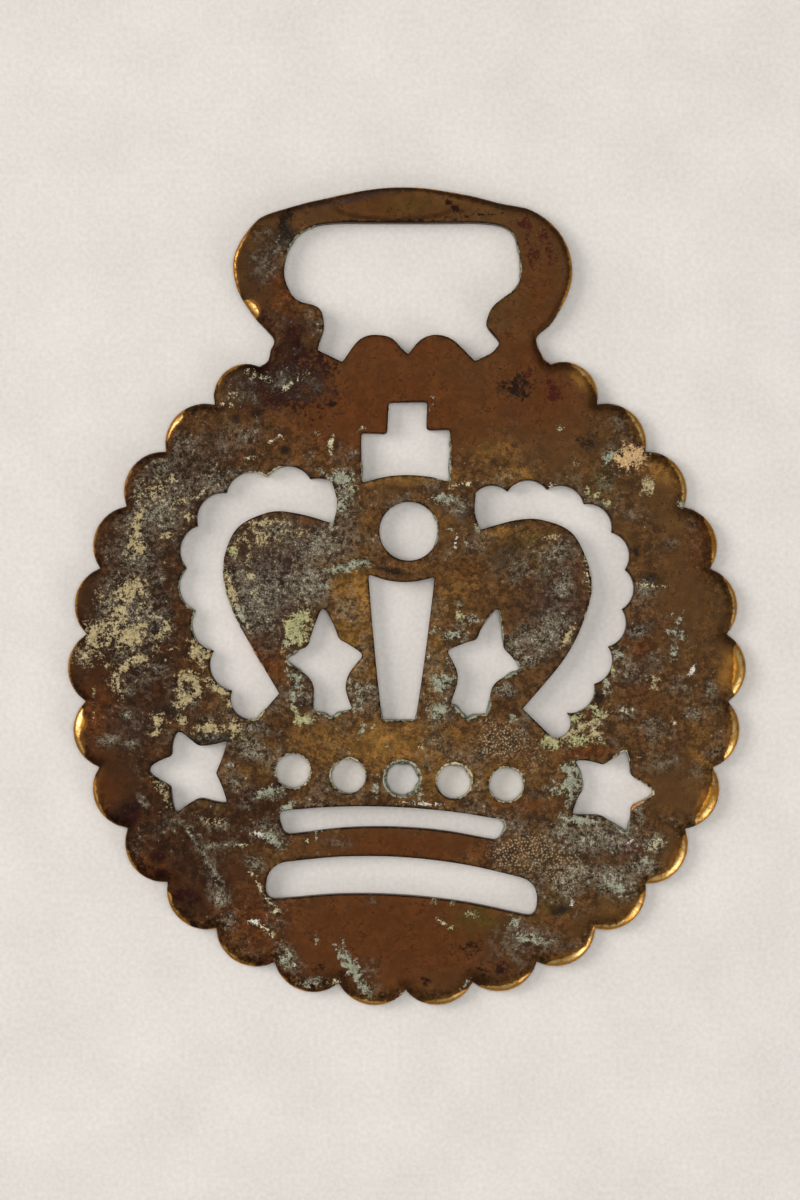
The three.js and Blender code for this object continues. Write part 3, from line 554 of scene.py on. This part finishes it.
def cover(mark, at):
    """How far a mark covers each point: 1 in its middle, 0.5 at its edge, 0 at twice its size."""
    x, y, length, width, angle, strength = mark
    waver = min(1.0, 0.45 * width)
    dx = at.x + waver * at.aside - x
    dy = at.y + waver * at.along - y
    turn = math.radians(angle)
    u = (dx * math.cos(turn) + dy * math.sin(turn)) / length
    v = (dy * math.cos(turn) - dx * math.sin(turn)) / width
    return strength * np.clip(1 - np.hypot(u, v) / 2, 0, 1)


def strongest(marks, at):
    """The strongest cover of any of these marks at each point of the front."""
    best = np.zeros(len(at.x))
    for mark in marks:
        best = np.maximum(best, cover(mark, at) * at.on_front)
    return best


def stained(at):
    """The colour of the metal's brown skin at each point, without its dark stains."""
    tint = np.tile(srgb(SKIN)[:3], (len(at.x), 1))
    for colour, marks in STAIN_MARKS:
        for mark in marks:
            share = step_up(cover(mark, at), 0.15, 0.75)[:, None] * ~at.on_back[:, None]
            tint = tint * (1 - share) + np.array(srgb(STAINS[colour])[:3]) * share
    return tint


def laid(kinds, colours, at, growth=None):
    """How strongly these kinds of mark lie on each point, and their colour there."""
    thick = np.zeros(len(at.x))
    total = np.full(len(at.x), 1e-6)
    tint = np.tile(np.array(srgb(colours[next(iter(kinds))])[:3]) * 1e-6, (len(at.x), 1))
    for kind, marks in kinds.items():
        colour = np.array(srgb(colours[kind])[:3])
        for mark in marks:
            share = cover(mark, at) * at.on_front
            thick = np.maximum(thick, share)
            total += share**3
            tint += (share**3)[:, None] * colour
    for kind, places in (growth or {}).items():
        for x, y, reach, _ in places:
            weight = 0.02 * at.near(x, y, reach)
            total += weight
            tint += weight[:, None] * np.array(srgb(colours[kind])[:3])
    return thick, tint / total[:, None]


def bloomed(at):
    """How strong the pale bloom is: strong at its marks, faint elsewhere, none in clean places."""
    faint = 0.22 + 0.22 * drift(at.x, at.y, 3.5, 51) + 0.14 * drift(at.x, at.y, 1.2, 52)
    faint *= 1 - step_up(strongest(CLEAN_PLACES, at), 0.2, 0.6)
    dark = strongest(DARK_MARKS["plum"], at)
    return np.maximum(strongest(BLOOM_MARKS, at), faint) * (1 - 0.4 * step_up(dark, 0.3, 0.8))


def banded(places, at):
    """How wide a band along an edge is at each point."""
    width = np.zeros(len(at.x))
    for x, y, reach, band in places:
        width = np.maximum(width, band * np.sqrt(at.near(x, y, reach)))
    return width


# ---- the casting's mesh


def hex_grid(spacing, seed):
    """Points a fixed distance apart over the whole casting, each moved a little at random."""
    low, high = LOW[:2] - DISC, HIGH[:2] - DISC
    across = np.arange(low[0], high[0], spacing)
    up = np.arange(low[1], high[1], spacing * math.sqrt(3) / 2)
    x, y = np.meshgrid(across, up)
    x = x + (np.arange(len(up)) % 2 * spacing / 2)[:, None]
    grid = np.stack([x.ravel(), y.ravel()], axis=1)
    return grid + np.random.default_rng(seed).uniform(-0.16, 0.16, grid.shape) * spacing


def filled(loops, rows, grid, to_edge):
    """The points and triangles of a flat sheet; the points of the outlines come first."""
    ring = np.concatenate(loops)
    inner = [ring]
    for row in rows:
        line = np.concatenate([loop + inward(loop) * row for loop in loops])
        line = line[to_edge(line) > 0.85 * row]
        inner.append(line[in_metal(line, loops)])
    spacing = abs(grid[1][0] - grid[0][0])
    grid = grid[to_edge(grid) > rows[-1] + 0.45 * spacing]
    inner.append(grid[in_metal(grid, loops)])
    points = np.concatenate(inner)
    edges, first = [], 0
    for loop in loops:
        count = len(loop)
        edges += [(first + i, first + (i + 1) % count) for i in range(count)]
        first += count
    corners = [Vector(p) for p in points]
    _, _, faces, origin, _, _ = delaunay_2d_cdt(corners, edges, [], 1, 1e-6, True)
    source = [o[0] if o else -1 for o in origin]
    faces = np.array([[source[i] for i in f] for f in faces if len(f) == 3])
    faces = faces[(faces >= 0).all(1)]
    doubtful = np.flatnonzero((faces < len(ring)).all(1))
    keep = np.ones(len(faces), bool)
    keep[doubtful] = in_metal(points[faces[doubtful]].mean(1), loops)
    return points, faces[keep]


def front_height(x, y, rim, window):
    """The height of the front: flat, rounded down to the rim and a little to each window."""
    hanger = step_up(y, 33, 36)
    width = RIM_WIDTH * (0.85 + 0.45 * step_up(x - y, -40, 30) + 0.2 * drift(x, y, 9, 3))
    t = np.clip(1 - rim / (width * (1 - 0.3 * hanger)), 0, 1)
    drop = RIM_DROP * (1 + 0.15 * drift(x, y, 7, 4)) * (1 - 0.35 * hanger)
    drop = drop * (1 - np.sqrt(1 - t**2))
    t = np.clip(1 - window / WINDOW_WIDTH, 0, 1)
    drop = drop + WINDOW_DROP * (1 - np.sqrt(1 - t**2))
    facet = np.hypot((x - FACET.x) / FACET.length, (y - FACET.y) / FACET.width)
    drop = drop + FACET.depth * step_up(-facet, -1.05, -0.9)
    return FACE - drop


def swollen(loops, at):
    """How far the walls stand out into each window, where mineral has grown along its edge."""
    growth = banded(sum(EDGE_GROWTH.values(), []), at)
    growth *= 0.75 + 0.6 * drift(at.x, at.y, 0.7, 41)
    growth[: len(loops[0])] = 0
    return np.concatenate([inward(loop) for loop in loops]) * growth[:, None]


def wall_faces(loops, starts):
    """The faces between rings of points, each ring given by the number of its first point."""
    quads, first = [], 0
    for loop in loops:
        here = first + np.arange(len(loop))
        there = first + (np.arange(len(loop)) + 1) % len(loop)
        for up, down in zip(starts, starts[1:]):
            quads.append(np.stack([up + here, down + here, down + there, up + there], axis=1))
        first += len(loop)
    return np.concatenate(quads).tolist()


def store_finish(mesh, at, rim, window):
    """Stores in the mesh what the finish shows at each point."""
    crust, crust_tint = laid(CRUST_MARKS, CRUSTS, at, EDGE_GROWTH)
    dark, dark_tint = laid(DARK_MARKS, DARK_STAINS, at)
    values = {
        "crust": crust,
        "dark": dark,
        "bloom": bloomed(at) * step_up(rim, 0.2, 1.2),
        "stipple": strongest(STIPPLE_MARKS, at),
        "calm": step_up(strongest(CLEAN_PLACES, at), 0.15, 0.55),
        "wear": np.maximum(banded(RIM_WEAR, at), 0.1 + 0.08 * drift(at.x, at.y, 4, 31)),
        "growth": banded(sum(EDGE_GROWTH.values(), []), at),
        "rim": rim,
        "window": window,
        "skin": (at.on_front | at.on_back).astype(float),
    }
    for name, value in values.items():
        layer = mesh.attributes.new(name, "FLOAT", "POINT")
        layer.data.foreach_set("value", value.astype(np.float32))
    tints = {"stain_tint": stained(at), "dark_tint": dark_tint, "crust_tint": crust_tint}
    for name, tint in tints.items():
        layer = mesh.attributes.new(name, "FLOAT_COLOR", "POINT")
        layer.data.foreach_set("color", np.column_stack([tint, np.ones(len(tint))]).ravel())


def casting():
    """The whole casting as one closed mesh, with its finish stored at each point."""
    loops = [drawn_smooth(loop) for loop in cad_outlines()]
    loops[0] = filed(loops[0])
    to_edge, to_rim, to_window = map(distance_to, (loops, loops[:1], loops[1:]))
    front, front_faces = filled(loops, FRONT_ROWS, hex_grid(FRONT_GRID, 11), to_edge)
    back, back_faces = filled(loops, BACK_ROWS, hex_grid(BACK_GRID, 12), to_edge)
    rim, window = to_rim(front), to_window(front)
    front_z = front_height(front[:, 0], front[:, 1], rim, window)
    back_z = BACK_RISE * step_up(-to_edge(back), -BACK_WIDTH, 0)

    # the walls, ring by ring from the top down
    edge = np.concatenate(loops)
    nowhere = np.zeros(len(edge), bool)
    growth = swollen(loops, Points(edge, nowhere, nowhere))
    top_z, low_z = front_z[: len(edge)], back_z[: len(edge)]
    wall = np.concatenate([edge - growth * swell for _, swell in WALL_ROWS])
    wall_z = np.concatenate([low_z + (top_z - low_z) * share for share, _ in WALL_ROWS])

    xy = np.concatenate([front, wall, back])
    z = np.concatenate([front_z, wall_z, back_z])
    back_start = len(front) + len(wall)
    starts = [0, *range(len(front), back_start, len(edge)), back_start]
    faces = front_faces.tolist() + wall_faces(loops, starts)
    faces += (back_faces[:, ::-1] + back_start).tolist()
    place = np.column_stack([(xy + DISC) * MM, (z + LOW[2]) * MM])
    mesh = bpy.data.meshes.new(PIECE)
    mesh.from_pydata(place.tolist(), [], faces)
    mesh.validate()

    # a wall counts as part of its own edge, and a rim's wall as further out the lower it is
    in_window = np.tile(np.arange(len(edge)) >= len(loops[0]), len(WALL_ROWS))
    below = np.tile(top_z, len(WALL_ROWS)) - wall_z
    far = np.full(len(back), FAR)
    number = np.arange(len(xy))
    at = Points(xy, number < len(front), number >= back_start)
    store_finish(
        mesh,
        at,
        np.concatenate([rim, np.where(in_window, FAR, 2 * below), far]),
        np.concatenate([window, np.where(in_window, 0, FAR), far]),
    )
    mesh.shade_smooth()
    mesh.set_sharp_from_angle(angle=CREASE)
    piece = bpy.data.objects.new(PIECE, mesh)
    bpy.context.collection.objects.link(piece)
    return piece


# ---- materials


def blank_material(name):
    """A material without nodes, and the function that adds a node to it."""
    material = bpy.data.materials.new(name)
    material.use_nodes = True
    material.node_tree.nodes.clear()
    return material, partial(add, material.node_tree)


def product(node, *patterns):
    """Patterns, each brought smoothly from one range to another, multiplied together."""
    total = node("ramp", *patterns[0])
    for pattern in patterns[1:]:
        total = node("times", total, node("ramp", *pattern))
    return total


def winding_lines(node, where, mm, width):
    """Thin winding lines about this many millimetres apart."""
    noise = node("noise", where, per(mm), 5, 0.6)
    return node("ramp", node("unsigned", node("minus", noise, 0.5)), width, 0)


# The unevenness of old brass: millimetres across, detail, roughness.
GRAINS = {
    "broad": (2.2, 7, 0.66),
    "blotch": (0.9, 5, 0.68),
    "fine": (0.45, 6, 0.7),
    "speck": (0.22, 4, 0.7),
    "grit": (0.15, 3, 0.6),
}
STORED = ("calm", "dark", "bloom", "stipple", "crust", "growth", "wear", "rim", "window")


def brass_patterns(node):
    """What the layers of old brass are drawn with: noises, and the values stored in the mesh."""
    of = SimpleNamespace(where=node("place"))
    for name, (mm, detail, rough) in GRAINS.items():
        setattr(of, name, node("noise", of.where, per(mm), detail, rough))
    for name in STORED:
        setattr(of, name, node("stored", attribute_name=name))
    of.uneven = node("minus", node("plus", of.fine, of.blotch), 1)
    of.jitter = node("times", node("minus", of.fine, 0.5), 0.6)
    of.threads = winding_lines(node, of.where, 0.8, 0.035)
    return of


def brown_skin(node, of):
    """The brown skin: mottled, smooth in calm places, with ragged dark stains, dirt in veins, and painted
    shade: a dark line along each window's edge.
    """
    mottled = product(
        node,
        (of.broad, 0.34, 0.66, 0.46, 0.9),
        (of.fine, 0.32, 0.68, 0.45, 1.6),
        (of.blotch, 0.4, 0.56, 0.62, 1.12),
        (of.speck, 0.34, 0.46, 0.45, 1.05),
    )
    smooth = product(node, (of.broad, 0.3, 0.7, 0.54, 0.72), (of.fine, 0.3, 0.7, 0.86, 1.14))
    shade = node("blend", node("times", of.calm, 0.85), mottled, smooth)
    stain, dark = (
        node("scaled", node("stored colour", attribute_name=name), shade)
        for name in ("stain_tint", "dark_tint")
    )
    ragged = node("plus", of.dark, node("times", of.uneven, 1.3))
    ragged = product(node, (ragged, 0.3, 0.66, 0, 0.95), (of.dark, 0.04, 0.3))
    skin = node("mix", ragged, stain, dark)
    vein = winding_lines(node, of.where, 1.3, 0.026)
    vein = node("times", vein, node("ramp", of.broad, 0.4, 0.6, 0, 0.8))
    # painted shade: a thin dark line along each window's edge, where the face turns down into the window
    edge = node("plus", of.window, of.jitter)
    edge = product(node, (edge, 0.2, 0), (of.blotch, 0.4, 0.6, 0.6, 0.15))
    return node("mix", node("larger", vein, edge), skin, srgb("#150e08"))


def pale_bloom(node, of, skin):
    """The pale bloom: a thin grey film, dark in its gaps, with lighter threads and specks in it."""
    patchy = node("plus", of.bloom, node("times", of.uneven, 2.4))
    film = product(node, (patchy, 0.2, 1.1), (of.bloom, 0.05, 0.5, 0, 0.62))
    gaps = product(node, (patchy, 0.5, 0.1), (of.bloom, 0.1, 0.5, 0, 0.6))
    surface = node("mix", film, node("mix", gaps, skin, srgb("#1c120b")), srgb("#675d4a"))
    thread = node("times", of.threads, node("ramp", of.bloom, 0.2, 0.75, 0, 0.7))
    fleck = node("plus", node("times", of.bloom, 0.2), of.fine)
    speck = node("plus", node("times", of.bloom, 0.22), of.speck)
    fleck = node("ramp", fleck, 0.66, 0.75, 0, 0.8)
    speck = node("ramp", speck, 0.72, 0.82, 0, 0.8)
    light = node("larger", thread, node("larger", fleck, speck))
    light = node("times", light, node("minus", 1, node("times", of.calm, 0.9)))
    chalk = node("mix", node("ramp", of.grit, 0.4, 0.6), srgb("#7d7764"), srgb("#c2bda6"))
    return node("mix", light, surface, chalk), film, light


def white_stipple(node, of, surface):
    """White stipple: fine separate dots a third of a millimetre apart."""
    cells = node("cells", of.where, per(0.33), 0.9, voronoi_dimensions="2D")
    spread = node("plus", of.stipple, node("times", of.fine, 0.8))
    dots = product(
        node, (cells, 0.38, 0.14), (spread, 0.6, 1, 0, 0.8), (of.fine, 0.4, 0.56, 0.15, 1)
    )
    return node("mix", dots, surface, srgb("#a8a084")), dots


def mineral_layer(node, of, surface):
    """The crust: grainy at its edges, pitted through to the skin, and in a line at some windows."""
    level = node("minus", node("times", of.threads, 0.34), 0.1)
    level = node("plus", node("times", of.uneven, 1.2), level)
    crust = product(
        node,
        (node("plus", of.crust, level), 0.34, 0.54),
        (of.speck, 0.37, 0.46, 0.15, 1),
        (of.crust, 0.02, 0.14),
    )
    grown = node("plus", node("minus", of.growth, of.window), of.jitter)
    grown = product(node, (grown, 0.02, 0.14), (of.fine, 0.42, 0.52, 0.1, 1))
    crust = node("larger", crust, grown)
    shade = product(node, (of.fine, 0.3, 0.7, 0.7, 1.3), (of.grit, 0.3, 0.7, 0.8, 1.25))
    tint = node("scaled", node("stored colour", attribute_name="crust_tint"), shade)
    return node("mix", crust, surface, tint), crust


def worn_rim(node, of, surface):
    """The rim: amber where the skin is thin, and bare gold metal along its worn edge, with a painted
    highlight: paler gold in a line along the rounded rim.
    """
    thin = node("plus", node("minus", node("times", of.wear, 1.9), of.rim), of.jitter)
    amber = node("mix", node("ramp", of.broad, 0.35, 0.65), srgb("#54330f"), srgb("#7d5220"))
    surface = node("mix", node("ramp", thin, 0.05, 0.7, 0, 0.7), surface, amber)
    bare = node("plus", node("minus", of.wear, of.rim), of.jitter)
    bare = product(
        node, (bare, -0.02, 0.22), (of.speck, 0.34, 0.42, 0.3, 1), (of.blotch, 0.38, 0.5, 0.45, 1)
    )
    # painted highlight: paler gold along a line about half a millimetre in from the edge, where the rounded
    # rim catches the light
    painted_rim_highlight = node("minus", 0.5, node("unsigned", node("minus", of.rim, 0.55)))
    painted_rim_highlight = product(node, (painted_rim_highlight, 0.1, 0.45), (of.broad, 0.36, 0.6))
    gold = node("mix", painted_rim_highlight, srgb("#b17a2c"), srgb("#f1cd88"))
    return node("mix", bare, surface, gold), bare


def aged_brass():
    """Old cast brass: a satin brown skin, matt pale mineral on it, and bare gold where it is worn; with a
    painted highlight along the rim and painted shade along the window edges.
    """
    material, node = blank_material("aged_cast_brass")
    of = brass_patterns(node)
    surface, film, light = pale_bloom(node, of, brown_skin(node, of))
    surface, dots = white_stipple(node, of, surface)
    surface, crust = mineral_layer(node, of, surface)
    surface, bare = worn_rim(node, of, surface)

    raised = node("larger", crust, light)
    pale = node("larger", raised, node("larger", dots, film))
    metallic = node("larger", node("times", node("minus", 1, pale), 0.92), bare)
    satin = node("ramp", of.fine, 0.3, 0.7, 0.4, 0.6)
    rough = node("blend", bare, node("blend", pale, satin, 0.85), 0.3)
    lumps = node("plus", node("times", of.fine, 0.7), node("times", of.grit, 0.3))
    lumps = node("plus", lumps, node("times", raised, 0.9))
    bump = node("bump", lumps, 0.55, 0.05 * MM)
    node("material", node("finish", surface, rough, metallic, bump))
    return material


def mineral_grain():
    """Grains of dried mineral: chalky and matt, in the colour of the crust they stand on."""
    material, node = blank_material("mineral_crust")
    chalk = node("noise", node("place"), per(0.3), 3)
    shade = node("slope", chalk, 0.3, 0.7, 0.7, 1.3)
    tint = node("scaled", node("stored colour", attribute_name="crust_tint"), shade)
    node("material", node("finish", tint, 0.95))
    return material


def pale_board():
    """Matt pale board, faintly warm, with a soft cloud and a fine grain in it."""
    material, node = blank_material("pale_board")
    where = node("place")
    cloud = node("noise", where, per(9), 5)
    grain = node("noise", where, per(0.5), 4)
    colour = node("mix", node("blend", 0.6, cloud, grain), srgb("#bdb9b3"), srgb("#ece8e5"))
    node("material", node("finish", colour, 0.9))
    return material


# ---- cast surface and mineral grains

SURFACE_INPUTS = {
    "Swell Height": 0.045 * MM,
    "Swell Size": 7 * MM,
    "Peel Height": 0.022 * MM,
    "Peel Size": 0.9 * MM,
    "Crust Height": 0.11 * MM,
    "Crust Size": 0.55 * MM,
    "Grain Size": 0.085 * MM,
    "Grains Per Square Metre": 11e6,
    "Seed": 7,
}


def surface_sockets(tree):
    """Names the tree's inputs: the casting, and the sizes above."""
    tree.interface.new_socket(name="Geometry", in_out="INPUT", socket_type="NodeSocketGeometry")
    for name, value in SURFACE_INPUTS.items():
        kind = "NodeSocketInt" if isinstance(value, int) else "NodeSocketFloat"
        tree.interface.new_socket(name=name, in_out="INPUT", socket_type=kind)
    tree.interface.new_socket(name="Geometry", in_out="OUTPUT", socket_type="NodeSocketGeometry")


def cast_relief(node, given):
    """The casting with its skin raised and lowered, and its crusts thickened."""
    crust = node("value here", "crust")
    layers = []
    for name, detail, above in (("Swell", 2, 0), ("Peel", 4, 0), ("Crust", 3, 0.35)):
        noise = node("swelling", node("over", 1, given[f"{name} Size"]), detail)
        lump = node("plus", node("minus", noise, 0.5), above)
        layers.append(node("times", lump, given[f"{name} Height"]))
    swell, peel, lumps = layers
    lumps = node("times", lumps, node("slope", crust, 0.3, 0.75))
    height = node("plus", node("plus", swell, peel), lumps)
    height = node("times", height, node("value here", "skin"))
    return node("moved", given["Geometry"], node("scaled", node("normal"), height))


def crust_grains(node, given, cast):
    """Small uneven balls strewn over the crusts, closer where those are thicker."""
    crust = node("value here", "crust")
    density = node("times", node("slope", crust, 0.42, 0.8), given["Grains Per Square Metre"])
    points = node("scattered", cast, density, given["Seed"])
    ball = node("marked", node("ball", given["Grain Size"], 1), "grain", 1.0)
    stretch = node("random", (0.5, 0.5, 0.3), (1.5, 1.3, 0.7), given["Seed"])
    balls = node("placed", points["Points"], ball, points["Rotation"], stretch)
    return node("turned", balls, node("random", (0, 0, 0), (0.3, 0.3, 6.283), given["Seed"]))


def surface_tree(skin, grains):
    """Gives the casting its relief, scatters mineral grains on its crusts and coats both."""
    tree = bpy.data.node_groups.new("cast_surface", "GeometryNodeTree")
    surface_sockets(tree)
    node = partial(add, tree)
    given = node("given")
    cast = cast_relief(node, given)
    balls = crust_grains(node, given, cast)
    real = node("real", node("joined", cast, balls))
    is_grain = node("value here", "grain")
    node("result", node("coated", node("coated", real, skin), grains, is_grain))
    return tree


def surfaced(piece):
    """Makes the relief and grains part of the piece's own mesh, held inside the casting's box."""
    shaping = piece.modifiers.new("cast_surface", "NODES")
    shaping.node_group = surface_tree(aged_brass(), mineral_grain())
    for socket in shaping.node_group.interface.items_tree:
        if socket.name in SURFACE_INPUTS:
            shaping[socket.identifier] = SURFACE_INPUTS[socket.name]
    graph = bpy.context.evaluated_depsgraph_get()
    graph.update()
    mesh = bpy.data.meshes.new_from_object(piece.evaluated_get(graph), depsgraph=graph)
    piece.modifiers.remove(shaping)
    piece.data = mesh
    coords = np.empty(len(mesh.vertices) * 3)
    mesh.vertices.foreach_get("co", coords)
    coords = np.clip(coords.reshape(-1, 3), LOW * MM, HIGH * MM)
    mesh.vertices.foreach_set("co", coords.ravel())
    mesh.update()
    mesh.name = piece.name


# ---- the piece

piece = casting()
surfaced(piece)
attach(piece, "root")
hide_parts(NODE)

# ---- floor, light and camera

FLOOR_REACH = 3.0  # metres
FLOOR_GAP = 0.02 * MM  # keeps the floor's face clear of the brass's back

plane = bpy.data.meshes.new("floor")
corners = [(x * FLOOR_REACH, y * FLOOR_REACH, 0) for x, y in ((-1, -1), (1, -1), (1, 1), (-1, 1))]
plane.from_pydata(corners, [], [(0, 1, 2, 3)])
plane.materials.append(pale_board())
floor = bpy.data.objects.new("floor", plane)
floor.location.z = LOW[2] * MM - FLOOR_GAP
bpy.context.collection.objects.link(floor)


def soft_light(name, place, size, watts, colour):
    """A square lamp, with its place and size in metres, that faces the brass."""
    lamp = bpy.data.lights.new(name, "AREA")
    lamp.size = size
    lamp.energy = watts
    lamp.color = srgb(colour)[:3]
    held = bpy.data.objects.new(name, lamp)
    held.location = place
    held.rotation_euler = (-Vector(place)).to_track_quat("-Z", "Y").to_euler()
    bpy.context.collection.objects.link(held)


soft_light("key", (-0.75, 0.22, 0.66), 0.55, 5.8, "#fffaf5")
soft_light("overhead", (0.02, 0, 0.75), 0.36, 2.3, "#fffdfa")
soft_light("fill", (0.62, -0.5, 0.4), 0.4, 2.0, "#fbfaf6")

world = bpy.data.worlds.new("studio")
world.use_nodes = True
sky = world.node_tree.nodes["Background"]
sky.inputs["Color"].default_value = srgb("#f6f5f3")
sky.inputs["Strength"].default_value = 0.35
bpy.context.scene.world = world
bpy.context.scene.view_settings.view_transform = "Standard"

VIEW_HEIGHT = 134.4  # millimetres of the face's plane, from the top of the picture to its foot
VIEW_MIDDLE = (-0.76, -0.42)
LENS, SENSOR = 120.0, 36.0

camera_data = bpy.data.cameras.new("camera")
camera_data.lens = LENS
camera_data.sensor_fit = "AUTO"
camera_data.sensor_width = SENSOR
camera_data.clip_start = 0.01
camera = bpy.data.objects.new("camera", camera_data)
camera.location = (
    VIEW_MIDDLE[0] * MM,
    VIEW_MIDDLE[1] * MM,
    HIGH[2] * MM + VIEW_HEIGHT * MM * LENS / SENSOR,
)
bpy.context.collection.objects.link(camera)
bpy.context.scene.camera = camera
